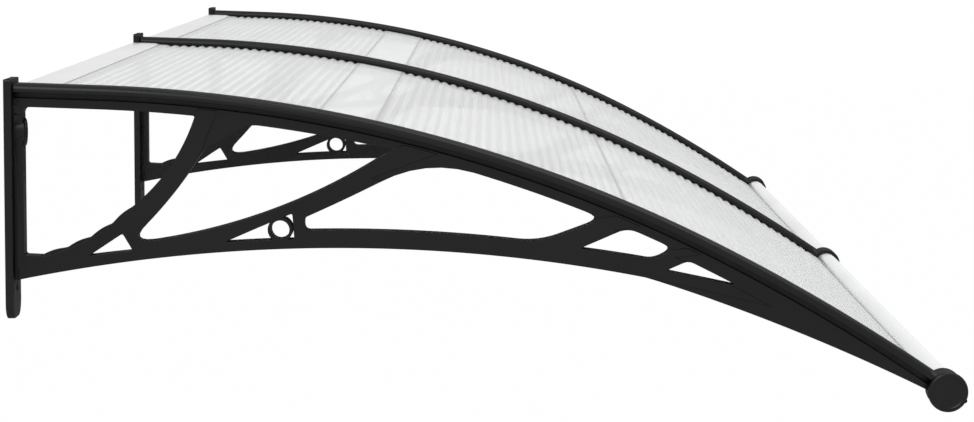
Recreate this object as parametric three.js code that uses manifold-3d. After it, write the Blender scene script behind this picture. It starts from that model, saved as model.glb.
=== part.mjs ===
// Door canopy for a wall: three moulded truss arms carry two hollow clear sheets,
// with a round front bar, a wall bar and a snap-on cover strip over each arm.
// Millimetres. X runs out from the wall, Y along the wall and Z up.
import * as THREE from "three";
import { mergeVertices } from "three/addons/utils/BufferGeometryUtils.js";
import Module from "manifold-3d";

const wasm = await Module();
wasm.setup();

const { degToRad, lerp } = THREE.MathUtils;

// Overall sizes
const overallWidth = 2000;
const projection = 750;
const fitGap = 0.3;

// Roof line: the middle of the sheet's thickness, seen from the side
const roofStart = 80.6;
const rearPitch = degToRad(1.95);
const straightRun = 71;
const rearRadius = 1152;
const rearSweep = degToRad(24.8);
const frontRadius = 1532;

// Hollow sheet
const sheetThickness = 4;
const sheetSkin = 0.6;
const cellPitch = 9.3;
const cellRib = 0.6;
const sheetIntoBar = 7;

// Arm
const armWidth = 18;
const faceRecess = 1;
const shoulderDepth = 7;
const armDepth = 120;
const chordRadius = 1260;
const chordApexX = 258;
const chordDepth = 14;
const slimChordDepth = 8;
const rearWeb = 6.9;
const tailStart = 498;
const tailEndDepth = 7.5;
const tailBelly = 1.4;
const scallops = 4;
const scallopRise = 1.5;
const ringX = 213;
const ringLift = 15.2;
const ringRadius = 9.8;
const ringHoleRadius = 7.2;

// Rear and front edge of each strut where it meets the rail, from the wall outwards
const strutTops = [[147, 162], [300, 326], [465, 484], [521, 531.5]];
const strutLean = [5, 11, 14, 14];

// Wall plate
const plateWidth = 45;
const plateThickness = 6.3;
const plateRise = 3.6;
const plateTab = 29.6;
const plateTopRadius = 2;
const plateTabRadius = 13;
const bossRadius = 11;
const bossReach = 8.5;
const bossDrop = 29.6;
const screwHoleRadius = 4;
const tabHoleDrop = 5.4;

// Cover strip
const stripWidth = 32;
const stripHeight = 6.5;
const stripCrownRadius = 5;
const tongueWidth = 4;
const tongueDepth = 4.2;
const tongueEndGap = 0.5;
const tongueStop = 45;
const hookThickness = 3.1;
const hookLipRadius = 1.8;
const hookLipOut = 0.6;

// Front bar and its end caps
const barRadius = 11.4;
const barWall = 1.8;
const noseLift = 2;
const capRadius = 15.8;
const capThickness = 4.2;
const capRim = 3.6;
const plugDepth = 14;
const plugWall = 1.8;

// Wall bar
const wallBarDepth = 28;
const wallBarWall = 1.3;
const wallBarBack = 2;

const noseRadius = barRadius + fitGap + hookThickness;
const armSpacing = (overallWidth - plateWidth) / 2;
const sheetHalf = sheetThickness / 2;
const channelHalf = sheetHalf + fitGap;
const stripTop = channelHalf + stripHeight;
const railUnderside = -channelHalf - shoulderDepth;

// Directions along and square to a roof line that falls at the given pitch
const along = (pitch) => new THREE.Vector2(Math.cos(pitch), -Math.sin(pitch));
const across = (pitch) => new THREE.Vector2(Math.sin(pitch), Math.cos(pitch));

const roofRear = new THREE.Vector2(0, roofStart);
const rearStart = roofRear.clone().addScaledVector(along(rearPitch), straightRun);
const rearCentre = rearStart.clone().addScaledVector(across(rearPitch), -rearRadius);
const rearLength = rearRadius * rearSweep;
const frontPitch = rearPitch + rearSweep;
const frontStart = rearCentre.clone().addScaledVector(across(frontPitch), rearRadius);
const frontCentre = frontStart.clone().addScaledVector(across(frontPitch), -frontRadius);

function roofPitch(distance) {
  if (distance < straightRun) return rearPitch;
  const onRear = Math.min(distance - straightRun, rearLength);
  const onFront = Math.max(distance - straightRun - rearLength, 0);
  return rearPitch + onRear / rearRadius + onFront / frontRadius;
}

// Point at a distance along the roof line, raised square to it by the offset
function roofPoint(distance, offset) {
  const pitch = roofPitch(distance);
  if (distance < straightRun) {
    const foot = roofRear.clone().addScaledVector(along(pitch), distance);
    return foot.addScaledVector(across(pitch), offset);
  }
  if (distance < straightRun + rearLength) {
    return rearCentre.clone().addScaledVector(across(pitch), rearRadius + offset);
  }
  return frontCentre.clone().addScaledVector(across(pitch), frontRadius + offset);
}

// Distance along the roof line of the offset point that lies at x
function roofDistance(x, offset) {
  const straight = (x - offset * Math.sin(rearPitch)) / Math.cos(rearPitch);
  if (straight < straightRun) return straight;
  const rearAngle = Math.asin((x - rearCentre.x) / (rearRadius + offset));
  if (rearAngle < frontPitch) return straightRun + (rearAngle - rearPitch) * rearRadius;
  const frontAngle = Math.asin((x - frontCentre.x) / (frontRadius + offset));
  return straightRun + rearLength + (frontAngle - frontPitch) * frontRadius;
}

const roofHeight = (x, offset) => roofPoint(roofDistance(x, offset), offset).y;

// Round front end of the arm, with the bar's centre just above the sheet
const noseX = projection - capRadius;
const noseDistance = roofDistance(noseX, noseLift);
const nose = roofPoint(noseDistance, noseLift);
const nosePitch = roofPitch(noseDistance);

// Lower edge of the arm: an arched chord, then a tail that tapers to the nose
const chordCentreHeight = roofStart - armDepth - chordRadius;
const chordHeight = (x) => chordCentreHeight + Math.sqrt(chordRadius ** 2 - (x - chordApexX) ** 2);
const tailDepth = roofHeight(tailStart, 0) - chordHeight(tailStart);

function lowerEdge(x) {
  if (x < tailStart) return chordHeight(x);
  const share = (x - tailStart) / (noseX - noseRadius - tailStart);
  const belly = 4 * tailBelly * share * (1 - share);
  return roofHeight(x, 0) - lerp(tailDepth, tailEndDepth, share) - belly;
}

// Corner places on the arm's web: below the rail, or above the lower edge
const underRail = (x, drop) => new THREE.Vector2(x, roofHeight(x, railUnderside) - drop);
const overChord = (x, lift) => new THREE.Vector2(x, lowerEdge(x) + lift);

const plateTop = roofHeight(0, stripTop) + plateRise;
const plateBottom = lowerEdge(plateThickness) - plateTab;
const bossHeight = roofStart - bossDrop;
const tabHoleHeight = lowerEdge(plateThickness) - tabHoleDrop;
const plateMiddle = (plateTop + plateBottom) / 2;

function toManifold(geometry) {
  const bare = geometry.clone();
  bare.deleteAttribute("normal");
  bare.deleteAttribute("uv");
  const merged = mergeVertices(bare, 1e-4);
  const vertProperties = new Float32Array(merged.attributes.position.array);
  const triVerts = new Uint32Array(merged.index.array);
  return new wasm.Manifold(new wasm.Mesh({ numProp: 3, vertProperties, triVerts }));
}

function toGeometry(manifold) {
  const mesh = manifold.getMesh();
  const geometry = new THREE.BufferGeometry();
  geometry.setAttribute("position", new THREE.BufferAttribute(mesh.vertProperties, 3));
  geometry.setIndex(new THREE.BufferAttribute(mesh.triVerts, 1));
  geometry.computeVertexNormals();
  return geometry;
}

// Solid with the given outline seen from the side, centred on y = 0
function sideSolid(shape, width, curveSegments = 3) {
  const settings = { depth: width, bevelEnabled: false, curveSegments };
  const geometry = new THREE.ExtrudeGeometry(shape, settings);
  geometry.rotateX(Math.PI / 2);
  geometry.translate(0, width / 2, 0);
  return geometry;
}

// Points at even steps from one value to another, both ends included
function steps(from, to, count, place) {
  return Array.from({ length: count + 1 }, (_, i) => place(lerp(from, to, i / count)));
}

// Band that follows the roof line between two offsets
function roofBand(from, to, lowOffset, highOffset, count) {
  const top = steps(from, to, count, (distance) => roofPoint(distance, highOffset));
  const bottom = steps(to, from, count, (distance) => roofPoint(distance, lowOffset));
  return new THREE.Shape([...top, ...bottom]);
}

// Window edge from corner a to corner b: it follows the rail or the chord where both
// corners lie on the same one, and is a line or a bow, plain or scalloped, elsewhere
function windowEdge(a, b) {
  const start = a.on(a.x, a.height);
  const end = b.on(b.x, b.height);
  const length = start.distanceTo(end);
  const outward = end.clone().sub(start).normalize();
  outward.set(-outward.y, outward.x);
  const { bow = 0, waves = 0 } = a;
  const place = (share) => {
    const point = a.on === b.on
      ? a.on(lerp(a.x, b.x, share), lerp(a.height, b.height, share))
      : start.clone().lerp(end, share);
    const wave = waves ? scallopRise * Math.abs(Math.sin(Math.PI * waves * share)) : 0;
    return point.addScaledVector(outward, 4 * bow * share * (1 - share) - wave);
  };
  const bent = a.on === b.on || bow !== 0;
  const count = waves ? waves * 3 : bent ? Math.max(1, Math.round(length / 28)) : 1;
  return steps(a.round / length, 1 - b.round / length, count, place);
}

// Window outline with each corner eased over its own set-back
function windowShape(corners) {
  const shape = new THREE.Shape();
  corners.forEach((corner, i) => {
    const next = corners[(i + 1) % corners.length];
    const [first, ...rest] = windowEdge(corner, next);
    if (i === 0) shape.moveTo(first.x, first.y);
    rest.forEach((point) => shape.lineTo(point.x, point.y));
    const turn = next.on(next.x, next.height);
    const after = windowEdge(next, corners[(i + 2) % corners.length])[0];
    shape.quadraticCurveTo(turn.x, turn.y, after.x, after.y);
  });
  return shape;
}

const rail = (x, drop, round, extra) => ({ on: underRail, x, height: drop, round, ...extra });
const chord = (x, lift, round, extra) => ({ on: overChord, x, height: lift, round, ...extra });

function armWindows() {
  const rearX = plateThickness + rearWeb;
  const [first, second, third, fourth] = strutTops;
  const rearWindow = [
    rail(rearX, 0, 6),
    rail(first[0], 0, 0.5, { bow: 6.5 }),
    chord(97, 42, 0.5, { bow: 6, waves: scallops }),
    chord(26, 15.4, 1),
    chord(rearX, 18.5, 2),
  ];
  const braceHole = [
    chord(64, slimChordDepth + 1, 1.5),
    chord(90, 22.5, 1.5),
    chord(98, slimChordDepth, 1.5),
  ];
  const longWindow = [
    rail(first[1], 0, 1.5),
    rail(second[0], 0, 1, { bow: 13.3 }),
    chord(93, chordDepth, 21, { bow: -7.4 }),
  ];
  const ringPanel = [
    chord(170, slimChordDepth - 0.3, 2),
    chord(222.5, 27.5, 1),
    chord(224, slimChordDepth - 0.6, 1),
  ];
  const middleWindow = [
    rail(second[1], 0.8, 40),
    rail(third[0], 0.8, 14),
    chord(414.5, chordDepth, 17),
    chord(231.8, chordDepth, 5),
    chord(232, 24, 3, { bow: -1 }),
  ];
  const frontWindow = [
    chord(447, chordDepth, 3),
    rail(third[1], 0, 9),
    rail(fourth[0], 0, 11),
    chord(503, chordDepth + 1.2, 7),
  ];
  const tipWindow = [
    chord(513.8, 10.2, 3),
    rail(fourth[1], 4, 5),
    rail(569.5, 4, 5),
  ];
  return [rearWindow, braceHole, longWindow, ringPanel, middleWindow, frontWindow, tipWindow];
}

// Lower edge under the truss, from just inside the wall plate to the tail
const webRear = plateThickness - 1;
const chordLine = () => steps(webRear, tailStart, 20, (x) => overChord(x, 0));

// Web of the arm at its recessed thickness, filled up to the roof line
function webShape() {
  const tail = steps(tailStart, noseX - noseRadius, 8, (x) => overChord(x, 0)).slice(1);
  const roof = steps(noseDistance, roofDistance(webRear, 0), 8, (distance) => roofPoint(distance, 0));
  return new THREE.Shape([...chordLine(), ...tail, ...roof]);
}

// Raised truss face: all that lies between the arched chord and the rail
function trussShape() {
  const front = tailStart + (noseX - tailStart) / 2;
  const top = steps(front, webRear, 12, (x) => underRail(x, 0.5));
  const onward = steps(tailStart, front, 6, (x) => new THREE.Vector2(x, chordHeight(x))).slice(1);
  const lower = [...chordLine(), ...onward].filter((point) => point.y < underRail(point.x, 0.5).y);
  const upper = top.filter((point) => point.y > chordHeight(point.x));
  return new THREE.Shape([...lower, ...upper]);
}

// Root of a strut where it runs up over the rail's web to the sheet channel
function strutRoot([rear, front], lean) {
  const rise = shoulderDepth + 1;
  return new THREE.Shape([
    underRail(rear, 1),
    underRail(front, 1),
    underRail(front + lean, -rise),
    underRail(rear + lean, -rise),
  ]);
}

// Half disc under the front bar, in the roof line's own angle
function saddleShape() {
  const turn = (degrees) => degToRad(degrees) - nosePitch;
  const shape = new THREE.Shape();
  shape.absarc(nose.x, nose.y, noseRadius, turn(-4), turn(-176), true);
  shape.lineTo(nose.x, nose.y);
  return shape;
}

function plateShape() {
  const half = plateWidth / 2;
  const shape = new THREE.Shape();
  shape.moveTo(-half + plateTabRadius, plateBottom);
  shape.lineTo(half - plateTabRadius, plateBottom);
  shape.absarc(half - plateTabRadius, plateBottom + plateTabRadius, plateTabRadius, -Math.PI / 2, 0);
  shape.absarc(half - plateTopRadius, plateTop - plateTopRadius, plateTopRadius, 0, Math.PI / 2);
  shape.absarc(-half + plateTopRadius, plateTop - plateTopRadius, plateTopRadius, Math.PI / 2, Math.PI);
  shape.absarc(-half + plateTabRadius, plateBottom + plateTabRadius, plateTabRadius, Math.PI, Math.PI * 1.5);
  return shape;
}

// Cylinder along X that starts at the wall side
function wallwardCylinder(radius, from, to, height) {
  const geometry = new THREE.CylinderGeometry(radius, radius, to - from, 20);
  geometry.rotateZ(Math.PI / 2);
  geometry.translate((from + to) / 2, 0, height);
  return toManifold(geometry);
}

// Cylinder along Y through a point of the side view
function crossCylinder(radius, width, centre, segments) {
  const geometry = new THREE.CylinderGeometry(radius, radius, width, segments);
  geometry.translate(centre.x, 0, centre.y);
  return toManifold(geometry);
}

function makePlate() {
  const settings = { depth: plateThickness, bevelEnabled: false, curveSegments: 3 };
  const geometry = new THREE.ExtrudeGeometry(plateShape(), settings);
  const turn = new THREE.Matrix4().makeBasis(
    new THREE.Vector3(0, 1, 0),
    new THREE.Vector3(0, 0, 1),
    new THREE.Vector3(1, 0, 0),
  );
  geometry.applyMatrix4(turn);
  return toManifold(geometry);
}

function makeArm() {
  const pastArm = armWidth + 4;
  let arm = toManifold(sideSolid(webShape(), armWidth - 2 * faceRecess));
  arm = arm.add(toManifold(sideSolid(trussShape(), armWidth)));
  strutTops.forEach((top, i) => {
    arm = arm.add(toManifold(sideSolid(strutRoot(top, strutLean[i]), armWidth)));
  });
  arm = arm.add(toManifold(sideSolid(saddleShape(), armWidth, 8)));
  const channelStart = roofDistance(plateThickness, 0) - 5;
  const channel = roofBand(channelStart, noseDistance, -channelHalf, stripTop + 20, 28);
  arm = arm.subtract(toManifold(sideSolid(channel, pastArm)));
  armWindows().forEach((corners) => {
    arm = arm.subtract(toManifold(sideSolid(windowShape(corners), pastArm)));
  });
  const ring = overChord(ringX, ringLift);
  arm = arm.add(crossCylinder(ringRadius, armWidth, ring, 24));
  arm = arm.subtract(crossCylinder(ringHoleRadius, pastArm, ring, 24));
  const grooveFloor = -channelHalf - tongueDepth - tongueEndGap;
  const groove = roofBand(channelStart, noseDistance - tongueStop + fitGap, grooveFloor, stripTop, 26);
  arm = arm.subtract(toManifold(sideSolid(groove, tongueWidth + 2 * fitGap)));
  arm = arm.subtract(crossCylinder(barRadius + fitGap, pastArm, nose, 32));
  arm = arm.add(makePlate());
  arm = arm.add(wallwardCylinder(bossRadius, plateThickness - 1, plateThickness + bossReach, bossHeight));
  const pastBoss = plateThickness + bossReach + 1;
  arm = arm.subtract(wallwardCylinder(screwHoleRadius, -1, pastBoss, bossHeight));
  arm = arm.subtract(wallwardCylinder(screwHoleRadius, -1, pastBoss, tabHoleHeight));
  return toGeometry(arm);
}

// Roof line as a path for the cover strip's section
class RoofPath extends THREE.Curve {
  constructor(from, to) {
    super();
    this.from = from;
    this.to = to;
  }

  getPoint(share) {
    const point = roofPoint(lerp(this.from, this.to, share), 0);
    return new THREE.Vector3(point.x, 0, point.y);
  }
}

// Section of the strip, upside down as the path's frame has it: a crowned head on a
// rib that reaches down to the given depth under the roof line
function stripSection(ribDepth) {
  const half = stripWidth / 2;
  const corner = stripCrownRadius;
  const shape = new THREE.Shape();
  shape.moveTo(-half, -channelHalf);
  shape.lineTo(-tongueWidth / 2, -channelHalf);
  shape.lineTo(-tongueWidth / 2, ribDepth);
  shape.lineTo(tongueWidth / 2, ribDepth);
  shape.lineTo(tongueWidth / 2, -channelHalf);
  shape.lineTo(half, -channelHalf);
  shape.absarc(half - corner, -stripTop + corner, corner, 0, -Math.PI / 2, true);
  shape.absarc(-half + corner, -stripTop + corner, corner, -Math.PI / 2, -Math.PI, true);
  return shape;
}

function stripRun(from, to, ribDepth, count) {
  const extrudePath = new RoofPath(from, to);
  const settings = { steps: count, bevelEnabled: false, curveSegments: 2, extrudePath };
  return toManifold(new THREE.ExtrudeGeometry(stripSection(ribDepth), settings));
}

function hookShape() {
  const turn = (degrees) => degToRad(degrees) - nosePitch;
  const shape = new THREE.Shape();
  shape.absarc(nose.x, nose.y, noseRadius, turn(2), turn(178), false);
  shape.absarc(nose.x, nose.y, barRadius + fitGap, turn(178), turn(2), true);
  return shape;
}

function makeStrip() {
  const tongueReach = channelHalf + tongueDepth;
  const from = roofDistance(plateThickness + fitGap, -tongueReach);
  const tongueEnd = noseDistance - tongueStop;
  const headEnd = noseDistance - barRadius - fitGap - hookThickness / 3;
  let strip = stripRun(from, tongueEnd, tongueReach, 24);
  strip = strip.add(stripRun(tongueEnd - 1, headEnd, sheetHalf, 2));
  strip = strip.add(toManifold(sideSolid(hookShape(), stripWidth, 8)));
  const lipCentre = nose.clone().addScaledVector(along(nosePitch), noseRadius + hookLipOut);
  lipCentre.addScaledVector(across(nosePitch), hookLipRadius);
  strip = strip.add(crossCylinder(hookLipRadius, stripWidth, lipCentre, 12));
  return toGeometry(strip);
}

// Twin-wall sheet: two skins joined by ribs, its cells running along the wall
function makeSheet(length) {
  const rear = roofDistance(plateThickness + fitGap, -sheetHalf);
  const front = noseDistance - sheetIntoBar;
  const shape = roofBand(rear, front, -sheetHalf, sheetHalf, 32);
  const cells = Math.floor((front - rear - cellRib) / cellPitch);
  const inner = sheetHalf - sheetSkin;
  for (let i = 0; i < cells; i += 1) {
    const start = rear + cellRib + i * cellPitch;
    const end = start + cellPitch - cellRib;
    const corners = [
      roofPoint(start, -inner),
      roofPoint(end, -inner),
      roofPoint(end, inner),
      roofPoint(start, inner),
    ];
    shape.holes.push(new THREE.Path(corners));
  }
  return sideSolid(shape, length);
}

// Round tube with a slot along its rear for the sheet's front edge
function makeFrontBar(length) {
  const bore = barRadius - barWall;
  const slotTop = (radius) => Math.PI - Math.asin((channelHalf - noseLift) / radius) - nosePitch;
  const slotFoot = (radius) => Math.asin((channelHalf + noseLift) / radius) - Math.PI - nosePitch;
  const shape = new THREE.Shape();
  shape.absarc(nose.x, nose.y, barRadius, slotFoot(barRadius), slotTop(barRadius), false);
  shape.absarc(nose.x, nose.y, bore, slotTop(bore), slotFoot(bore), true);
  return sideSolid(shape, length, 16);
}

// Disc with a rounded rim and a hollow plug that goes into the bar's end
function makeEndCap() {
  const plugRadius = barRadius - barWall - fitGap;
  const rim = new THREE.Vector2(capRadius - capRim, -capThickness + capRim);
  const rimArc = steps(0, Math.PI / 2, 3, (angle) => new THREE.Vector2(
    rim.x + capRim * Math.cos(angle),
    rim.y - capRim * Math.sin(angle),
  ));
  const profile = [
    new THREE.Vector2(0, -capThickness),
    ...rimArc.reverse(),
    new THREE.Vector2(capRadius, 0),
    new THREE.Vector2(plugRadius, 0),
    new THREE.Vector2(plugRadius, plugDepth),
    new THREE.Vector2(plugRadius - plugWall, plugDepth),
    new THREE.Vector2(plugRadius - plugWall, 0),
    new THREE.Vector2(0, 0),
  ];
  return new THREE.LatheGeometry(profile, 20);
}

// Channel on the wall that holds the sheet's rear edge
function makeWallBar(length) {
  const outer = channelHalf + wallBarWall;
  const at = (x, offset) => roofPoint(roofDistance(x, offset), offset);
  const shape = new THREE.Shape([
    at(0, -outer),
    at(wallBarDepth, -outer),
    at(wallBarDepth, -channelHalf),
    at(wallBarBack, -channelHalf),
    at(wallBarBack, channelHalf),
    at(wallBarDepth, channelHalf),
    at(wallBarDepth, outer),
    at(0, outer),
  ]);
  return sideSolid(shape, length);
}

const blackPlastic = new THREE.MeshStandardMaterial({ color: 0x29292b, roughness: 0.48, metalness: 0 });
const clearSheet = new THREE.MeshStandardMaterial({
  color: 0xe6eaec,
  roughness: 0.12,
  metalness: 0,
  transparent: true,
  opacity: 0.35,
});
const aluminium = new THREE.MeshStandardMaterial({ color: 0xd8dadb, roughness: 0.35, metalness: 0.9 });

const canopy = new THREE.Group();
canopy.position.z = -plateMiddle;

function place(name, geometry, material, y) {
  const mesh = new THREE.Mesh(geometry, material);
  mesh.name = name;
  mesh.position.y = y;
  canopy.add(mesh);
  return mesh;
}

const armGeometry = makeArm();
const stripGeometry = makeStrip();
const armPlaces = { left: -armSpacing, middle: 0, right: armSpacing };
Object.entries(armPlaces).forEach(([side, y]) => {
  place(`${side}_arm`, armGeometry, blackPlastic, y);
  place(`${side}_cover_strip`, stripGeometry, blackPlastic, y);
});

const sheetGeometry = makeSheet(armSpacing - tongueWidth - 2 * fitGap);
const wallBarGeometry = makeWallBar(armSpacing - plateWidth - 2 * fitGap);
const barOverhang = stripWidth / 2;
const barLength = armSpacing + barOverhang - fitGap;
const frontBarGeometry = makeFrontBar(barLength);
const capGeometry = makeEndCap();
const bays = { left: -1, right: 1 };
Object.entries(bays).forEach(([side, sign]) => {
  const bayMiddle = sign * armSpacing / 2;
  place(`${side}_sheet`, sheetGeometry, clearSheet, bayMiddle);
  place(`${side}_wall_bar`, wallBarGeometry, aluminium, bayMiddle);
  place(`${side}_front_bar`, frontBarGeometry, aluminium, sign * (fitGap + barLength / 2));
  const cap = place(`${side}_end_cap`, capGeometry, blackPlastic, sign * (armSpacing + barOverhang + fitGap));
  cap.position.x = nose.x;
  cap.position.z = nose.y;
  cap.rotation.z = sign > 0 ? Math.PI : 0;
});

export default canopy;
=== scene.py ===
from math import asin, atan2, cos, pi, radians, sin, sqrt
from types import SimpleNamespace

import bmesh
import bpy
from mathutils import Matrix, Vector
from mathutils.geometry import delaunay_2d_cdt


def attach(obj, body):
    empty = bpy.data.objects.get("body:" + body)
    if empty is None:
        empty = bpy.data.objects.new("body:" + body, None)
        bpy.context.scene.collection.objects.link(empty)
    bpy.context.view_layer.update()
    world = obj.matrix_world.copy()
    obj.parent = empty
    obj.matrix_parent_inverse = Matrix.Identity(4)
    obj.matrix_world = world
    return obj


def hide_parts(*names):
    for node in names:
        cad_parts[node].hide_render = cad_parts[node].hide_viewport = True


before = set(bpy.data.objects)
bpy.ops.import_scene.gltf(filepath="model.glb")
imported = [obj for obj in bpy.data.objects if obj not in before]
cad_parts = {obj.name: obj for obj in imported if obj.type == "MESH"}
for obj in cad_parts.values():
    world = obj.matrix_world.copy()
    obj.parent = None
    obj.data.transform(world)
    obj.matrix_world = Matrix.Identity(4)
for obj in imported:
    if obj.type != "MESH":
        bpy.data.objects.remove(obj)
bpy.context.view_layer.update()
mm = 0.001  # outlines are drawn in millimetres
print("frame loaded:", len(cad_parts), "nodes")

# roof line: middle of the sheet seen from the side, a short straight and two arcs
roof = {
    "start": 80.6,
    "rearPitch": radians(1.95),
    "straightRun": 71,
    "rearRadius": 1152,
    "rearSweep": radians(24.8),
    "frontRadius": 1532,
    "sheetHalf": 2,
    "channelHalf": 2.3,
    "projection": 750,
    "armSpacing": 977.5,
}


def alongPitch(pitch):
    return Vector((cos(pitch), -sin(pitch)))


def acrossPitch(pitch):
    return Vector((sin(pitch), cos(pitch)))


rearStart = Vector((0, roof["start"])) + alongPitch(roof["rearPitch"]) * roof["straightRun"]
rearCentre = rearStart - acrossPitch(roof["rearPitch"]) * roof["rearRadius"]
rearLength = roof["rearRadius"] * roof["rearSweep"]
frontPitch = roof["rearPitch"] + roof["rearSweep"]
frontStart = rearCentre + acrossPitch(frontPitch) * roof["rearRadius"]
frontCentre = frontStart - acrossPitch(frontPitch) * roof["frontRadius"]


def roofPitch(distance):
    run = distance - roof["straightRun"]
    if run < 0:
        return roof["rearPitch"]
    if run < rearLength:
        return roof["rearPitch"] + run / roof["rearRadius"]
    return frontPitch + (run - rearLength) / roof["frontRadius"]


def roofPoint(distance, offset):
    pitch = roofPitch(distance)
    if distance < roof["straightRun"]:
        foot = Vector((0, roof["start"])) + alongPitch(pitch) * distance
        return foot + acrossPitch(pitch) * offset
    if distance < roof["straightRun"] + rearLength:
        return rearCentre + acrossPitch(pitch) * (roof["rearRadius"] + offset)
    return frontCentre + acrossPitch(pitch) * (roof["frontRadius"] + offset)


def roofDistance(x, offset):
    straight = (x - offset * sin(roof["rearPitch"])) / cos(roof["rearPitch"])
    if straight < roof["straightRun"]:
        return straight
    rearAngle = asin((x - rearCentre.x) / (roof["rearRadius"] + offset))
    if rearAngle < frontPitch:
        return roof["straightRun"] + (rearAngle - roof["rearPitch"]) * roof["rearRadius"]
    frontAngle = asin((x - frontCentre.x) / (roof["frontRadius"] + offset))
    return roof["straightRun"] + rearLength + (frontAngle - frontPitch) * roof["frontRadius"]


def roofHeight(x, offset):
    return roofPoint(roofDistance(x, offset), offset).y


def mixed(a, b, share):
    return a + (b - a) * share


def steps(start, end, count, place):
    return [place(mixed(start, end, i / count)) for i in range(count + 1)]


def arcPoints(centre, radius, start, end, count):
    return steps(start, end, count, lambda a: centre + Vector((cos(a), sin(a))) * radius)


# front bar sits just above the sheet; strip hook and arm saddle wrap round it
nose = {"barRadius": 11.4, "barWall": 1.8, "gap": 0.3, "hook": 3.1, "lift": 2, "capRadius": 15.8}
noseRadius = nose["barRadius"] + nose["gap"] + nose["hook"]
noseX = roof["projection"] - nose["capRadius"]
noseDistance = roofDistance(noseX, nose["lift"])
noseCentre = roofPoint(noseDistance, nose["lift"])
nosePitch = roofPitch(noseDistance)


def noseTurn(degrees):
    return radians(degrees) - nosePitch


# mesh helpers


def cleanLoop(points, least=0.03):
    kept = []
    for point in points:
        if not kept or (point - kept[-1]).length > least:
            kept.append(point)
    if (kept[0] - kept[-1]).length <= least:
        kept.pop()
    area = sum(a.cross(b) for a, b in zip(kept, kept[1:] + kept[:1]))
    return kept if area > 0 else kept[::-1]  # always anticlockwise


# flat regions at stepped levels: each layer is (loop, low, high), later layers
# paint over earlier ones, and a layer with low == high cuts through
def terraceMesh(layers, place):
    points, loops = [], []
    for loop, low, high in layers:
        loop = cleanLoop(loop)
        loops.append(list(range(len(points), len(points) + len(loop))))
        points += loop
    spots, _, cells, _, _, owners = delaunay_2d_cdt(points, [], loops, 4, 1e-4, True)
    spans = []
    for owner in owners:
        span = None
        if 0 in owner:
            low, high = layers[max(owner)][1:]
            span = (low, high) if high > low else None
        spans.append(span)
    levels = [set() for _ in spots]
    beside = {}
    for cell, span in zip(cells, spans):
        for i, a in enumerate(cell):
            b = cell[(i + 1) % len(cell)]
            beside.setdefault((min(a, b), max(a, b)), []).append(span)
            if span:
                levels[a].update(span)
    mesh = bmesh.new()
    made = {}

    def corner(spot, level):
        if (spot, level) not in made:
            made[spot, level] = mesh.verts.new(place(spots[spot].x, spots[spot].y, level) * mm)
        return made[spot, level]

    def wall(a, b, low, high):
        up = [corner(a, v) for v in sorted(levels[a]) if low <= v <= high]
        down = [corner(b, v) for v in sorted(levels[b], reverse=True) if low <= v <= high]
        mesh.faces.new(up + down)

    for cell, span in zip(cells, spans):
        if span:
            mesh.faces.new([corner(i, span[0]) for i in cell])
            mesh.faces.new([corner(i, span[1]) for i in cell])
    for (a, b), sides in beside.items():
        one, other = (sides + [None])[:2]
        if one == other:
            continue
        if one and other:
            for k in (0, 1):
                if one[k] != other[k]:
                    wall(a, b, min(one[k], other[k]), max(one[k], other[k]))
        else:
            wall(a, b, *(one or other))
    bmesh.ops.recalc_face_normals(mesh, faces=mesh.faces)
    return mesh


def toObject(name, mesh, material, crease=35):
    data = bpy.data.meshes.new(name)
    mesh.to_mesh(data)
    mesh.free()
    data.shade_smooth()
    data.set_sharp_from_angle(angle=radians(crease))
    data.materials.append(material)
    piece = bpy.data.objects.new(name, data)
    bpy.context.scene.collection.objects.link(piece)
    return piece


def softenEdges(piece, width, segments=2):
    bevel = piece.modifiers.new("soft edges", "BEVEL")
    bevel.width = width * mm
    bevel.segments = segments
    bevel.limit_method = "ANGLE"
    bevel.angle_limit = radians(38)
    bevel.use_clamp_overlap = False
    bevel.harden_normals = True


def settleModifiers(piece):
    graph = bpy.context.evaluated_depsgraph_get()
    data = bpy.data.meshes.new_from_object(piece.evaluated_get(graph))
    piece.modifiers.clear()
    old = piece.data
    piece.data = data
    bpy.data.meshes.remove(old)


def fuse(piece, other):
    union = piece.modifiers.new("fuse", "BOOLEAN")
    union.operation = "UNION"
    union.solver = "MANIFOLD"
    union.object = other
    settleModifiers(piece)
    bpy.data.objects.remove(other)


def evenShading(piece):
    piece.data.set_sharp_from_angle(angle=radians(35))
    weighted = piece.modifiers.new("even shading", "WEIGHTED_NORMAL")
    weighted.keep_sharp = True


def sideways(y):
    return lambda a, b, level: Vector((a, y + level, b + lift))


def settle(piece, node):
    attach(piece, "root")
    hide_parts(node)


# materials


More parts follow.
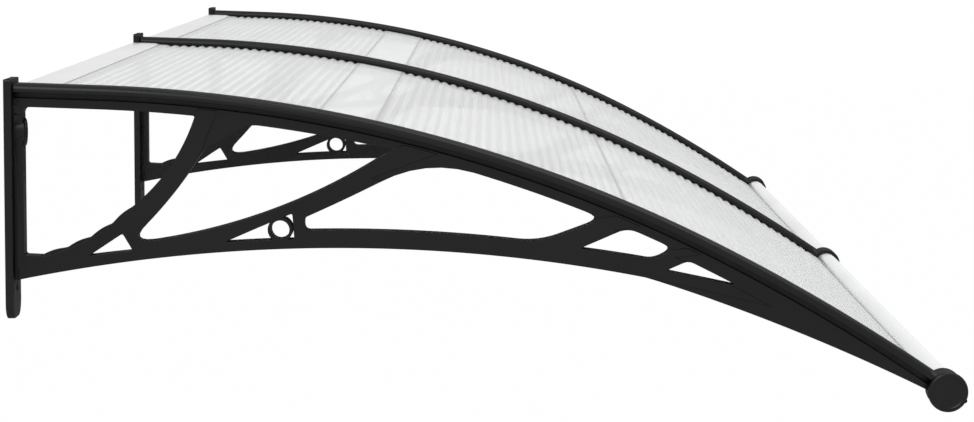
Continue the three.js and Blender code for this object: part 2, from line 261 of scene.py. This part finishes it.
def newMaterial(name):
    material = bpy.data.materials.new(name)
    material.use_nodes = True
    tree = material.node_tree
    shader = tree.nodes["Principled BSDF"]
    coords = tree.nodes.new("ShaderNodeTexCoord")

    def noiseNode(scale, detail, stretch=None):
        node = tree.nodes.new("ShaderNodeTexNoise")
        node.inputs["Scale"].default_value = scale
        node.inputs["Detail"].default_value = detail
        source = coords.outputs["Object"]
        if stretch:
            mapping = tree.nodes.new("ShaderNodeMapping")
            mapping.inputs["Scale"].default_value = stretch
            tree.links.new(source, mapping.inputs["Vector"])
            source = mapping.outputs["Vector"]
        tree.links.new(source, node.inputs["Vector"])
        return node

    def ramp(source, low, high):
        node = tree.nodes.new("ShaderNodeMapRange")
        node.inputs["From Min"].default_value = 0.3
        node.inputs["From Max"].default_value = 0.7
        node.inputs["To Min"].default_value = low
        node.inputs["To Max"].default_value = high
        tree.links.new(source, node.inputs["Value"])
        return node.outputs["Result"]

    def colourRamp(source, dark, light):
        node = tree.nodes.new("ShaderNodeValToRGB")
        node.color_ramp.elements[0].position = 0.3
        node.color_ramp.elements[0].color = (*dark, 1)
        node.color_ramp.elements[1].position = 0.7
        node.color_ramp.elements[1].color = (*light, 1)
        tree.links.new(source, node.inputs["Fac"])
        return node.outputs["Color"]

    def bump(source, strength, distance):
        node = tree.nodes.new("ShaderNodeBump")
        node.inputs["Strength"].default_value = strength
        node.inputs["Distance"].default_value = distance
        tree.links.new(source, node.inputs["Height"])
        tree.links.new(node.outputs["Normal"], shader.inputs["Normal"])
        return node.outputs["Normal"]

    # blend of two shaders: share of the second when seen square on and when seen along
    def blend(one, other, facing, along):
        fresnel = tree.nodes.new("ShaderNodeFresnel")
        share = tree.nodes.new("ShaderNodeMapRange")
        share.inputs["To Min"].default_value = facing
        share.inputs["To Max"].default_value = along
        tree.links.new(fresnel.outputs["Fac"], share.inputs["Value"])
        node = tree.nodes.new("ShaderNodeMixShader")
        tree.links.new(share.outputs["Result"], node.inputs["Fac"])
        tree.links.new(one.outputs[0], node.inputs[1])
        tree.links.new(other.outputs[0], node.inputs[2])
        tree.links.new(node.outputs["Shader"], tree.nodes["Material Output"].inputs["Surface"])
        return node

    return SimpleNamespace(material=material, tree=tree, shader=shader, noise=noiseNode, ramp=ramp,
                           colourRamp=colourRamp, bump=bump, blend=blend)


blackFinish = {"dark": (0.0045, 0.0045, 0.005), "light": (0.007, 0.007, 0.0075), "flow": 16,
               "sheen": 90, "rough": (0.26, 0.34), "grain": 2600, "relief": (0.16, 0.0002),
               "gloss": (0.018, 0.085)}


def blackPlastic():
    kit = newMaterial("black plastic")
    link, shader = kit.tree.links.new, kit.shader
    flow = kit.noise(blackFinish["flow"], 3)
    link(kit.colourRamp(flow.outputs["Fac"], blackFinish["dark"], blackFinish["light"]),
         shader.inputs["Base Color"])
    sheen = kit.noise(blackFinish["sheen"], 4)
    gloss = kit.tree.nodes.new("ShaderNodeBsdfGlossy")
    link(kit.ramp(sheen.outputs["Fac"], *blackFinish["rough"]), gloss.inputs["Roughness"])
    grain = kit.noise(blackFinish["grain"], 2)
    relief = kit.bump(grain.outputs["Fac"], *blackFinish["relief"])
    link(relief, gloss.inputs["Normal"])
    shader.inputs["Specular IOR Level"].default_value = 0
    kit.blend(shader, gloss, *blackFinish["gloss"])
    return kit.material


barFinish = {"dark": (0.70, 0.705, 0.71), "light": (0.77, 0.775, 0.78)}
# the wall bar's aluminium is the front bar's aluminium with a darker base tone; nothing else
# differs
wallFinish = {"dark": (0.59, 0.592, 0.594), "light": (0.65, 0.652, 0.654)}


def satinAluminium(name, finish):
    kit = newMaterial(name)
    link, shader = kit.tree.links.new, kit.shader
    cloud = kit.noise(5, 3, (3, 1, 3))
    link(kit.colourRamp(cloud.outputs["Fac"], finish["dark"], finish["light"]),
         shader.inputs["Base Color"])
    dieLines = kit.noise(1, 3, (1600, 5, 1600))  # drawn out along the bar
    link(kit.ramp(dieLines.outputs["Fac"], 0.30, 0.42), shader.inputs["Roughness"])
    kit.bump(dieLines.outputs["Fac"], 0.10, 0.0001)
    shader.inputs["Metallic"].default_value = 1
    return kit.material


sheetFinish = {"pass": (0.955, 0.957, 0.958), "dark": (0.82, 0.822, 0.824),
               "light": (0.86, 0.862, 0.864), "rough": (0.5, 0.6), "glossRough": (0.16, 0.24),
               "milk": (0.04, 0.49), "gloss": (0.05, 0.05)}


# clear when seen from above, milky along the sheet, with a weak gloss on top
def clearSheet():
    kit = newMaterial("clear twin-wall")
    link, shader = kit.tree.links.new, kit.shader
    haze = kit.noise(3, 3, (4, 0.6, 4))
    link(kit.colourRamp(haze.outputs["Fac"], sheetFinish["dark"], sheetFinish["light"]),
         shader.inputs["Base Color"])
    drawn = kit.noise(1, 2, (90, 1.5, 90))
    link(kit.ramp(drawn.outputs["Fac"], *sheetFinish["rough"]), shader.inputs["Roughness"])
    shader.inputs["Specular IOR Level"].default_value = 0.05
    through = kit.tree.nodes.new("ShaderNodeBsdfTransparent")
    through.inputs["Color"].default_value = (*sheetFinish["pass"], 1)
    body = kit.blend(through, shader, *sheetFinish["milk"])
    gloss = kit.tree.nodes.new("ShaderNodeBsdfGlossy")
    link(kit.ramp(drawn.outputs["Fac"], *sheetFinish["glossRough"]), gloss.inputs["Roughness"])
    kit.blend(body, gloss, *sheetFinish["gloss"])
    return kit.material


# rib walls gather light along their length, so they are painted light: milky and lighter than the
# clear skins; the shade-line ribs get a painted dark shade line
def ribFinish(name, dark, light, solid):
    kit = newMaterial(name)
    link, shader = kit.tree.links.new, kit.shader
    streak = kit.noise(1, 3, (40, 2, 40))
    link(kit.colourRamp(streak.outputs["Fac"], dark, light), shader.inputs["Base Color"])
    link(kit.ramp(streak.outputs["Fac"], 0.25, 0.4), shader.inputs["Roughness"])
    shader.inputs["Alpha"].default_value = solid
    return kit.material


black = blackPlastic()
metal = satinAluminium("satin aluminium", barFinish)
darker = satinAluminium("milled aluminium", wallFinish)
clear = clearSheet()
# rib walls: painted light, lighter and milkier than the clear sheet
milky = ribFinish("rib walls painted light", (0.74, 0.75, 0.755), (0.82, 0.825, 0.83), 0.55)
# painted shade line for the upper skin over the band-edge and seam ribs
shadeLine = ribFinish("painted shade line", (0.32, 0.32, 0.325), (0.40, 0.40, 0.405), 0.8)
print("materials made")

# arm: rail under the sheet, arched lower chord, leaning struts and a tapered tail
arm = {
    "half": 9,
    "recess": 1,
    "shoulder": 7,
    "depth": 120,
    "chordRadius": 1260,
    "chordApex": 258,
    "chord": 14,
    "slim": 8,
    "rearWeb": 6.9,
    "tailStart": 498,
    "tailEnd": 7.5,
    "tailBelly": 1.4,
    "scallops": 4,
    "scallopRise": 1.5,
    "scallopTop": (97, 42),
    "scallopFoot": (26, 15.4),
    "scallopBow": 6,
    "finInset": 0.8,
    "finDepth": 6,
    "finReach": 8,  # how far its outline runs out into the window
    "ring": (213, 15.2, 9.8, 7.2),
    "strutTops": ((147, 162), (300, 326), (465, 484), (521, 531.5)),
    "strutLean": (0.381, 1.625, 1.75, 1.75),
    "strutDrop": (40, 26, 14, 14),
    "strutStop": 1.2,
    "strutRoot": (14, 6),
    "webReach": (50, 60),
    "gusset": ((189, 1.5), (153.4, 26)),  # corners of the thin web beside the first strut
    "leastRound": 1.8,
    "softEdge": 0.35,
}
plate = {
    "width": 45,
    "thickness": 6.3,
    "rise": 3.6,
    "tab": 29.6,
    "topRound": 2,
    "tabRound": 13,
    "bossRadius": 11,
    "bossReach": 8.5,
    "bossDrop": 29.6,
    "hole": 4,
    "holeDrop": 5.4,
    "softEdge": 0.9,
}
stripTop = roof["channelHalf"] + 6.5
railUnderside = -roof["channelHalf"] - arm["shoulder"]
chordCentre = roof["start"] - arm["depth"] - arm["chordRadius"]


def chordHeight(x):
    return chordCentre + sqrt(arm["chordRadius"] ** 2 - (x - arm["chordApex"]) ** 2)


tailDepth = roofHeight(arm["tailStart"], 0) - chordHeight(arm["tailStart"])


def lowerEdge(x):
    if x < arm["tailStart"]:
        return chordHeight(x)
    share = (x - arm["tailStart"]) / (noseX - noseRadius - arm["tailStart"])
    belly = 4 * arm["tailBelly"] * share * (1 - share)
    return roofHeight(x, 0) - mixed(tailDepth, arm["tailEnd"], share) - belly


def underRail(x, drop):
    return Vector((x, roofHeight(x, railUnderside) - drop))


def overChord(x, height):
    return Vector((x, lowerEdge(x) + height))


plateTop = roofHeight(0, stripTop) + plate["rise"]
plateBottom = lowerEdge(plate["thickness"]) - plate["tab"]
lift = -(plateTop + plateBottom) / 2


def rail(x, drop, ease, **extra):
    ease = max(ease, arm["leastRound"])
    return {"on": underRail, "x": x, "height": drop, "ease": ease, **extra}


def chord(x, height, ease, **extra):
    ease = max(ease, arm["leastRound"])
    return {"on": overChord, "x": x, "height": height, "ease": ease, **extra}


def windowEdge(a, b):
    start, end = a["on"](a["x"], a["height"]), b["on"](b["x"], b["height"])
    length = (end - start).length
    outward = (end - start).normalized()
    outward = Vector((-outward.y, outward.x))
    bow, waves = a.get("bow", 0), a.get("waves", 0)
    follows = a["on"] is b["on"]

    def place(share):
        if follows:
            point = a["on"](mixed(a["x"], b["x"], share), mixed(a["height"], b["height"], share))
        else:
            point = start.lerp(end, share)
        wave = arm["scallopRise"] * abs(sin(pi * waves * share)) if waves else 0
        return point + outward * (4 * bow * share * (1 - share) - wave)

    count = 1
    if waves:
        count = waves * 8
    elif follows or bow:
        count = max(2, round(length / 7))
    return steps(a["ease"] / length, 1 - b["ease"] / length, count, place)


def windowLoop(corners):
    loop = []
    for i, corner in enumerate(corners):
        following = corners[(i + 1) % len(corners)]
        edge = windowEdge(corner, following)
        loop += edge
        turn = following["on"](following["x"], following["height"])
        after = windowEdge(following, corners[(i + 2) % len(corners)])[0]
        before = edge[-1]
        for k in range(1, 6):
            t = k / 6
            loop.append(before * (1 - t) ** 2 + turn * 2 * t * (1 - t) + after * t ** 2)
    return loop


def armWindows():
    rearX = plate["thickness"] + arm["rearWeb"]
    first, second, third, fourth = arm["strutTops"]
    full, slim = arm["chord"], arm["slim"]
    rearWindow = [
        rail(rearX, 0, 6),
        rail(first[0], 0, 0.5, bow=6.5),
        chord(*arm["scallopTop"], 0.5, bow=arm["scallopBow"], waves=arm["scallops"]),
        chord(*arm["scallopFoot"], 1),
        chord(rearX, 18.5, 2),
    ]
    braceHole = [chord(64, slim + 1, 1.5), chord(90, 22.5, 1.5), chord(98, slim, 1.5)]
    gussetTop, gussetFoot = arm["gusset"]
    longWindow = [
        rail(*gussetTop, 8),
        rail(second[0], 0, 1, bow=13.3),
        chord(93, full, 21, bow=-3.4),
        rail(*gussetFoot, 4),
    ]
    ringPanel = [chord(170, slim - 0.3, 2), chord(222.5, 27.5, 1), chord(224, slim - 0.6, 1)]
    middleWindow = [
        rail(second[1], 0.8, 40),
        rail(third[0], 0.8, 14),
        chord(414.5, full, 17),
        chord(231.8, full, 5),
        chord(232, 24, 3, bow=-1),
    ]
    frontWindow = [
        chord(447, full, 3),
        rail(third[1], 0, 9),
        rail(fourth[0], 0, 11),
        chord(503, full + 1.2, 7),
    ]
    tipWindow = [chord(513.8, 10.2, 3), rail(fourth[1], 4, 5), rail(569.5, 4, 5)]
    groups = (rearWindow, braceHole, longWindow, ringPanel, middleWindow, frontWindow, tipWindow)
    return [windowLoop(corners) for corners in groups]


webRear = plate["thickness"] - 1


def chordLine():
    return steps(webRear, arm["tailStart"], 70, lambda x: overChord(x, 0))


def webLoop():
    tail = steps(arm["tailStart"], noseX - noseRadius, 30, lambda x: overChord(x, 0))[1:]
    hit = tail[-1] - noseCentre
    outerArc = arcPoints(noseCentre, noseRadius, atan2(hit.y, hit.x) % (2 * pi),
                         noseTurn(-4) + 2 * pi, 30)
    bore = nose["barRadius"] + nose["gap"]
    drop = asin((roof["channelHalf"] + nose["lift"]) / bore)
    innerArc = arcPoints(noseCentre, bore, noseTurn(-4), drop - pi - nosePitch, 30)
    floorEnd = noseDistance - bore * cos(drop)
    floor = steps(floorEnd, roofDistance(webRear, -roof["channelHalf"]), 90,
                  lambda d: roofPoint(d, -roof["channelHalf"]))
    return chordLine() + tail[:-1] + outerArc + innerArc + floor[1:]


def trussLoop(drop=6):
    front = arm["tailStart"] + (noseX - arm["tailStart"]) / 2
    onward = steps(arm["tailStart"], front, 24, lambda x: Vector((x, chordHeight(x))))[1:]
    top = steps(front, webRear, 80, lambda x: underRail(x, drop))
    lower = [p for p in chordLine() + onward if p.y < underRail(p.x, drop).y]
    upper = [p for p in top if p.y > chordHeight(p.x)]
    return lower + upper


# raised struts run up over the rail; the thin webs beside the first two stay recessed
def strutLoops():
    rise = arm["shoulder"] - arm["strutStop"]
    root, spread = arm["strutRoot"]
    loops = []
    for (rear, front), slope, drop in zip(arm["strutTops"], arm["strutLean"], arm["strutDrop"]):
        loops.append([underRail(rear - slope * root - spread, root),
                      underRail(front - slope * drop, drop),
                      underRail(front + slope * rise, -rise), underRail(rear + slope * rise, -rise),
                      underRail(rear, 0)])
    return loops


def thinWebLoops():
    low, high = arm["webReach"]
    loops = []
    for strut, drop, (_, front) in zip(strutLoops(), arm["strutDrop"], arm["strutTops"][:2]):
        loops.append([strut[1], underRail(front + low, drop), underRail(front + high, -1),
                      strut[2]])
    return loops


# the scallops stand on a fin set back behind a smooth edge
def finLoop():
    (topX, topHeight), (footX, footHeight) = arm["scallopTop"], arm["scallopFoot"]
    way = (overChord(footX, footHeight) - overChord(topX, topHeight)).normalized()
    outward = Vector((-way.y, way.x))

    def edge(share, offset):
        base = overChord(mixed(topX, footX, share), mixed(topHeight, footHeight, share))
        return base + outward * (4 * arm["scallopBow"] * share * (1 - share) + offset)

    front = steps(0, 1, 24, lambda share: edge(share, arm["finInset"]))
    return front + steps(1, 0, 6, lambda share: edge(share, -arm["finReach"]))


def plateLoop():
    half, tab, top = plate["width"] / 2, plate["tabRound"], plate["topRound"]
    loop = arcPoints(Vector((half - tab, plateBottom + tab)), tab, -pi / 2, 0, 12)
    loop += arcPoints(Vector((half - top, plateTop - top)), top, 0, pi / 2, 5)
    loop += arcPoints(Vector((top - half, plateTop - top)), top, pi / 2, pi, 5)
    loop += arcPoints(Vector((tab - half, plateBottom + tab)), tab, pi, pi * 1.5, 12)
    return loop


def circle(x, z, radius, count=40):
    return arcPoints(Vector((x, z)), radius, 0, 2 * pi * (1 - 1 / count), count - 1)


def buildArm(side, y):
    half = arm["half"]
    low = half - arm["recess"]
    layers = [(webLoop(), -low, low), (trussLoop(), -half, half)]
    layers += [(loop, -low, low) for loop in thinWebLoops()]
    layers += [(loop, -half, half) for loop in strutLoops()]
    fin = half - arm["finDepth"]
    layers += [(finLoop(), -fin, fin)]
    layers += [(loop, 0, 0) for loop in armWindows()]
    x, height, outer, inner = arm["ring"]
    spot = overChord(x, height)
    layers.append((circle(spot.x, spot.y, (outer + inner) / 2), 0, 0))
    ring = toObject(side + "-ring", terraceMesh(
        [(circle(spot.x, spot.y, outer), -half, half), (circle(spot.x, spot.y, inner), 0, 0)],
        sideways(y)), black)
    softenEdges(ring, arm["softEdge"])
    piece = toObject(side + "-arm", terraceMesh(layers, sideways(y)), black)
    softenEdges(piece, arm["softEdge"])
    bossZ = roof["start"] - plate["bossDrop"]
    tabZ = lowerEdge(plate["thickness"]) - plate["holeDrop"]
    thick = plate["thickness"]
    plateLayers = [
        (plateLoop(), 0, thick),
        (circle(0, bossZ, plate["bossRadius"]), 0, thick + plate["bossReach"]),
        (circle(0, bossZ, plate["hole"]), 0, 0),
        (circle(0, tabZ, plate["hole"]), 0, 0),
    ]
    back = toObject(side + "-plate", terraceMesh(
        plateLayers, lambda a, b, level: Vector((level, y + a, b + lift))), black)
    softenEdges(back, plate["softEdge"])
    settleModifiers(piece)
    for other in (back, ring):
        settleModifiers(other)
        fuse(piece, other)
    evenShading(piece)
    settle(piece, side + "_arm")


armPlaces = {"left": -roof["armSpacing"], "middle": 0, "right": roof["armSpacing"]}
for side, y in armPlaces.items():
    buildArm(side, y)
print("arms made, wall plate from", round(plateBottom + lift, 2), "to", round(plateTop + lift, 2))

# cover strip: crowned head on a narrow rib, ending in a hook over the front bar
strip = {"width": 32, "corner": 5, "foot": 0.7, "rib": 4, "softEdge": 0.8,
         "lipRadius": 1.8, "lipOut": 0.6}


def stripSection():
    half, corner, foot = strip["width"] / 2, strip["corner"], strip["foot"]
    low = roof["channelHalf"]
    right = [Vector((strip["rib"] / 2, -low + 0.1)), Vector((strip["rib"] / 2, low))]
    right += arcPoints(Vector((half - foot, low + foot)), foot, -pi / 2, 0, 4)
    right += arcPoints(Vector((half - corner, stripTop - corner)), corner, 0, pi / 2, 10)
    return right + [Vector((-p.x, p.y)) for p in reversed(right)]


def sweepMesh(section, distances, place):
    mesh = bmesh.new()
    rings = []
    for distance in distances:
        ring = []
        for point in section:
            spot = roofPoint(distance, point.y)
            ring.append(mesh.verts.new(place(spot.x, spot.y, point.x) * mm))
        rings.append(ring)
    count = len(section)
    for a, b in zip(rings, rings[1:]):
        for i in range(count):
            k = (i + 1) % count
            mesh.faces.new((a[i], a[k], b[k], b[i]))
    mesh.faces.new(rings[0])
    mesh.faces.new(rings[-1])
    bmesh.ops.recalc_face_normals(mesh, faces=mesh.faces)
    return mesh


def buildStrip(side, y):
    begin = roofDistance(plate["thickness"] + nose["gap"], -roof["channelHalf"])
    finish = noseDistance - nose["barRadius"] - nose["gap"] - nose["hook"] / 3
    distances = steps(begin, finish, 90, lambda d: d)
    piece = toObject(side + "-strip", sweepMesh(stripSection(), distances, sideways(y)), black)
    bore = nose["barRadius"] + nose["gap"]
    hookLoop = arcPoints(noseCentre, noseRadius, noseTurn(2), noseTurn(178), 40)
    hookLoop += arcPoints(noseCentre, bore, noseTurn(178), noseTurn(2), 40)
    lip = noseCentre + alongPitch(nosePitch) * (noseRadius + strip["lipOut"])
    lip += acrossPitch(nosePitch) * strip["lipRadius"]
    half = strip["width"] / 2
    hook = toObject(side + "-hook", terraceMesh([(hookLoop, -half, half)], sideways(y)), black)
    softenEdges(hook, strip["softEdge"], 3)
    settleModifiers(hook)
    bead = toObject(side + "-lip", terraceMesh(
        [(circle(lip.x, lip.y, strip["lipRadius"], 24), -half, half)], sideways(y)), black)
    softenEdges(bead, strip["softEdge"], 3)
    settleModifiers(bead)
    fuse(hook, bead)
    fuse(piece, hook)
    settle(piece, side + "_cover_strip")


for side, y in armPlaces.items():
    buildStrip(side, y)
print("cover strips made")

# hollow sheet: flutes along the wall with a rib under each crest; a plain band lies
# between two ribs with a painted shade line, and one more such rib stands nearer the front
sheet = {"skin": 0.6, "pitch": 9.3, "rib": 0.6, "intoBar": 7, "length": 972.9, "flute": 1.7,
         "plainRear": 3, "band": (237.3, 283), "seam": 483, "facets": 8}
sheetRear = roofDistance(plate["thickness"] + nose["gap"], -roof["sheetHalf"])
sheetFront = noseDistance - sheet["intoBar"]
cellCount = int((sheetFront - sheetRear - sheet["rib"]) / sheet["pitch"])


def ribCount(distance):
    return (distance - sheetRear - sheet["rib"] / 2) / sheet["pitch"]


def ribNumber(x):
    return round(ribCount(roofDistance(x, 0)))


bandStart, bandEnd = (ribNumber(x) for x in sheet["band"])
# band-edge and seam ribs, which get a painted shade line on the upper skin
shadeLineRibs = (bandStart, bandEnd, ribNumber(sheet["seam"]))


def sheetTop(distance):
    ribs = ribCount(distance)
    plain = ribs < sheet["plainRear"] or ribs > cellCount - 1 or bandStart < ribs < bandEnd
    dip = 0 if plain else abs(sin(pi * ribs)) ** 3
    return roof["sheetHalf"] - sheet["flute"] * dip


def sheetLayers():
    half, rib, pitch, facets = roof["sheetHalf"], sheet["rib"], sheet["pitch"], sheet["facets"]
    span = sheet["length"] / 2
    crest = sheetRear + rib / 2
    spots = [sheetRear] + steps(crest, crest + cellCount * pitch, cellCount * facets, lambda d: d)
    top = [roofPoint(d, sheetTop(d)) for d in spots + [sheetFront]]
    bottom = steps(sheetFront, sheetRear, 160, lambda d: roofPoint(d, -half))
    layers = [(top + bottom, -span, span)]
    ribs = [i for i in range(cellCount + 1) if not bandStart < i < bandEnd]
    for i, k in zip(ribs, ribs[1:]):
        begin = sheetRear + rib + i * pitch
        finish = sheetRear + k * pitch
        low = steps(begin, finish, 2 * (k - i), lambda d: roofPoint(d, sheet["skin"] - half))
        high = steps(finish, begin, facets * (k - i),
                     lambda d: roofPoint(d, sheetTop(d) - sheet["skin"]))
        layers.append((low + high, 0, 0))
    return layers


# rib walls stand square to the skins, so their faces are found by direction and get the painted rib
# light;
# over the shade-line ribs a fine painted shade line goes on the upper skin
def paintRibs(data):
    line = 1 / sheet["facets"]
    for face in data.polygons:
        spot, way = face.center / mm, face.normal
        distance = roofDistance(spot.x, 0)
        steep = acrossPitch(roofPitch(distance))
        facing = way.x * steep.x + way.z * steep.y
        height = spot.z - lift - roofHeight(spot.x, 0)
        past = [ribCount(distance) - i for i in shadeLineRibs]
        # rib walls get the painted rib light
        if abs(way.y) < 0.5 and abs(facing) < 0.4:
            face.material_index = 1
        # upper skin over those ribs gets the painted shade line
        elif facing > 0.8 and height > 1.6 and any(abs(p) < line for p in past):
            face.material_index = 2


bays = {"left": -1, "right": 1}
for side, sign in bays.items():
    middle = sign * roof["armSpacing"] / 2
    piece = toObject(side + "-sheet", terraceMesh(sheetLayers(), sideways(middle)), clear)
    # slot 1 is the painted rib light, slot 2 the painted shade line
    piece.data.materials.append(milky)
    piece.data.materials.append(shadeLine)
    paintRibs(piece.data)
    settle(piece, side + "_sheet")
print("sheets made")

# wall bar: channel that takes the sheet's rear edge
wallBar = {"depth": 28, "wall": 1.3, "back": 2, "lip": 0.22, "taper": 4, "edge": 0.3,
           "softEdge": 0.2}


def wallBarLoop():
    inner = roof["channelHalf"]
    outer = inner + wallBar["wall"]
    back, depth = wallBar["back"], wallBar["depth"]
    thin = depth - wallBar["taper"]  # upper leg thins down onto the sheet
    corners = [(0, -outer), (depth, -outer), (depth, -inner), (back, -inner), (back, inner),
               (thin, inner), (depth, inner - wallBar["lip"]), (depth, inner + wallBar["edge"]),
               (thin, outer), (0, outer)]
    return [roofPoint(roofDistance(x, offset), offset) for x, offset in corners]


# front bar: round tube with a slot for the sheet's front edge, closed in at its mouth
frontBar = {"overhang": 16, "lip": 0.25, "softEdge": 0.3}


def frontBarLoop():
    outer = nose["barRadius"]
    bore = outer - nose["barWall"]
    half = roof["channelHalf"]

    def slotTop(radius):
        return pi - asin((half - nose["lift"]) / radius) - nosePitch

    def slotFoot(radius):
        return asin((half + nose["lift"]) / radius) - pi - nosePitch

    mouth = pi - asin((half - nose["lift"] - frontBar["lip"]) / outer) - nosePitch
    loop = arcPoints(noseCentre, outer, slotFoot(outer), mouth, 72)
    return loop + arcPoints(noseCentre, bore, slotTop(bore), slotFoot(bore), 60)


wallBarHalf = (roof["armSpacing"] - plate["width"]) / 2 - nose["gap"]
frontBarHalf = (roof["armSpacing"] + frontBar["overhang"] - nose["gap"]) / 2
for side, sign in bays.items():
    middle = sign * roof["armSpacing"] / 2
    piece = toObject(side + "-wall-bar", terraceMesh(
        [(wallBarLoop(), -wallBarHalf, wallBarHalf)], sideways(middle)), darker)
    softenEdges(piece, wallBar["softEdge"])
    settle(piece, side + "_wall_bar")
    middle = sign * (nose["gap"] + frontBarHalf)
    piece = toObject(side + "-front-bar", terraceMesh(
        [(frontBarLoop(), -frontBarHalf, frontBarHalf)], sideways(middle)), metal)
    softenEdges(piece, frontBar["softEdge"])
    settle(piece, side + "_front_bar")
print("bars made")

# end cap: disc with a rounded rim and a hollow plug inside the bar
cap = {"thickness": 4.2, "rim": 2.9, "dish": 0.9, "dishRadius": 11.4, "plugDepth": 14,
       "plugWall": 1.8, "centre": 4, "segments": 64}


def capProfile():
    plug = nose["barRadius"] - nose["barWall"] - nose["gap"]
    rimCentre = Vector((nose["capRadius"] - cap["rim"], cap["rim"] - cap["thickness"]))
    rim = arcPoints(rimCentre, cap["rim"], -pi / 2, 0, 12)
    floorY = cap["dish"] - cap["thickness"]
    return [Vector((cap["centre"], floorY)), Vector((cap["dishRadius"], floorY)),
            Vector((cap["dishRadius"] + 0.5, floorY - 0.15))] + rim + [
        Vector((nose["capRadius"], -0.3)), Vector((nose["capRadius"] - 0.3, 0)),
        Vector((plug, 0)), Vector((plug, cap["plugDepth"])),
        Vector((plug - cap["plugWall"], cap["plugDepth"])),
        Vector((plug - cap["plugWall"], 0.2)), Vector((cap["centre"], 0.2))]


def capMesh(y, sign):
    mesh = bmesh.new()
    rings = []
    for point in capProfile():
        ring = []
        for k in range(cap["segments"]):
            a = 2 * pi * k / cap["segments"]
            spot = Vector((noseCentre.x + point.x * cos(a), y - sign * point.y,
                           noseCentre.y + lift + point.x * sin(a)))
            ring.append(mesh.verts.new(spot * mm))
        rings.append(ring)
    for a, b in zip(rings, rings[1:]):
        for k in range(cap["segments"]):
            n = (k + 1) % cap["segments"]
            mesh.faces.new((a[k], a[n], b[n], b[k]))
    mesh.faces.new(rings[0])
    mesh.faces.new(rings[-1])
    bmesh.ops.recalc_face_normals(mesh, faces=mesh.faces)
    return mesh


for side, sign in bays.items():
    y = sign * (roof["armSpacing"] + frontBar["overhang"] + nose["gap"])
    piece = toObject(side + "-end-cap", capMesh(y, sign), black)
    settle(piece, side + "_end_cap")
print("end caps made")

# studio: pale floor well below, white surroundings and two soft lamps
# the floor takes the canopy's shadow near it and turns white further off
studio = {"floor": -1.4, "size": 60, "ambient": 0.55, "near": 1.0, "far": 4.5, "nearGlow": 0.7,
          "farGlow": 0.99}


def seenDirect(tree):
    path = tree.nodes.new("ShaderNodeLightPath")
    total = path.outputs["Is Camera Ray"]
    for name in ("Is Glossy Ray", "Is Transmission Ray"):
        add = tree.nodes.new("ShaderNodeMath")
        add.operation = "MAXIMUM"
        tree.links.new(total, add.inputs[0])
        tree.links.new(path.outputs[name], add.inputs[1])
        total = add.outputs["Value"]
    return total


world = bpy.data.worlds.new("studio")
bpy.context.scene.world = world
world.use_nodes = True
background = world.node_tree.nodes["Background"]
background.inputs["Color"].default_value = (1, 1, 1, 1)
level = world.node_tree.nodes.new("ShaderNodeMapRange")
level.inputs["To Min"].default_value = studio["ambient"]
level.inputs["To Max"].default_value = 1
world.node_tree.links.new(seenDirect(world.node_tree), level.inputs["Value"])
world.node_tree.links.new(level.outputs["Result"], background.inputs["Strength"])

floorMaterial = bpy.data.materials.new("pale floor")
floorMaterial.use_nodes = True
tree = floorMaterial.node_tree
matte = tree.nodes["Principled BSDF"]
matte.inputs["Base Color"].default_value = (0.85, 0.85, 0.85, 1)
matte.inputs["Roughness"].default_value = 0.9
glow = tree.nodes.new("ShaderNodeEmission")
share = tree.nodes.new("ShaderNodeMath")
share.operation = "MULTIPLY"
tree.links.new(seenDirect(tree), share.inputs[0])
coords = tree.nodes.new("ShaderNodeTexCoord")
away = tree.nodes.new("ShaderNodeVectorMath")
away.operation = "LENGTH"
tree.links.new(coords.outputs["Object"], away.inputs[0])
fade = tree.nodes.new("ShaderNodeMapRange")
fade.interpolation_type = "SMOOTHSTEP"
fade.inputs["From Min"].default_value = studio["near"]
fade.inputs["From Max"].default_value = studio["far"]
fade.inputs["To Min"].default_value = studio["nearGlow"]
fade.inputs["To Max"].default_value = studio["farGlow"]
tree.links.new(away.outputs["Value"], fade.inputs["Value"])
tree.links.new(fade.outputs["Result"], share.inputs[1])
blend = tree.nodes.new("ShaderNodeMixShader")
tree.links.new(share.outputs["Value"], blend.inputs["Fac"])
tree.links.new(matte.outputs["BSDF"], blend.inputs[1])
tree.links.new(glow.outputs["Emission"], blend.inputs[2])
tree.links.new(blend.outputs["Shader"], tree.nodes["Material Output"].inputs["Surface"])
floorMesh = bmesh.new()
bmesh.ops.create_grid(floorMesh, x_segments=1, y_segments=1, size=studio["size"] / 2)
floor = toObject("floor", floorMesh, floorMaterial)
floor.location.z = studio["floor"]


def softLamp(name, spot, aim, size, power):
    lamp = bpy.data.lights.new(name, "AREA")
    lamp.size = size
    lamp.energy = power
    holder = bpy.data.objects.new(name, lamp)
    holder.location = spot
    holder.rotation_euler = (Vector(aim) - Vector(spot)).to_track_quat("-Z", "Y").to_euler()
    bpy.context.scene.collection.objects.link(holder)


lamps = {"aim": (0.4, 0, 0), "key": ((-1.2, -3.2, 3.2), 2.5, 90), "top": ((1.6, 0.4, 3.4), 3, 70)}
for name in ("key", "top"):
    spot, size, power = lamps[name]
    softLamp(name, spot, lamps["aim"], size, power)
print("studio made")

view = {"sensor": 36, "lens": 127.2, "spot": (0.3762, -3.6585, 0.2237), "down": 4.99, "turn": 0.04}
camera = bpy.data.cameras.new("camera")
camera.sensor_width = view["sensor"]
camera.lens = view["lens"]
holder = bpy.data.objects.new("camera", camera)
holder.location = view["spot"]
holder.rotation_euler = (radians(90 - view["down"]), 0, radians(view["turn"]))
bpy.context.scene.collection.objects.link(holder)
bpy.context.scene.camera = holder
bpy.context.scene.view_settings.view_transform = "Standard"

print("camera set")
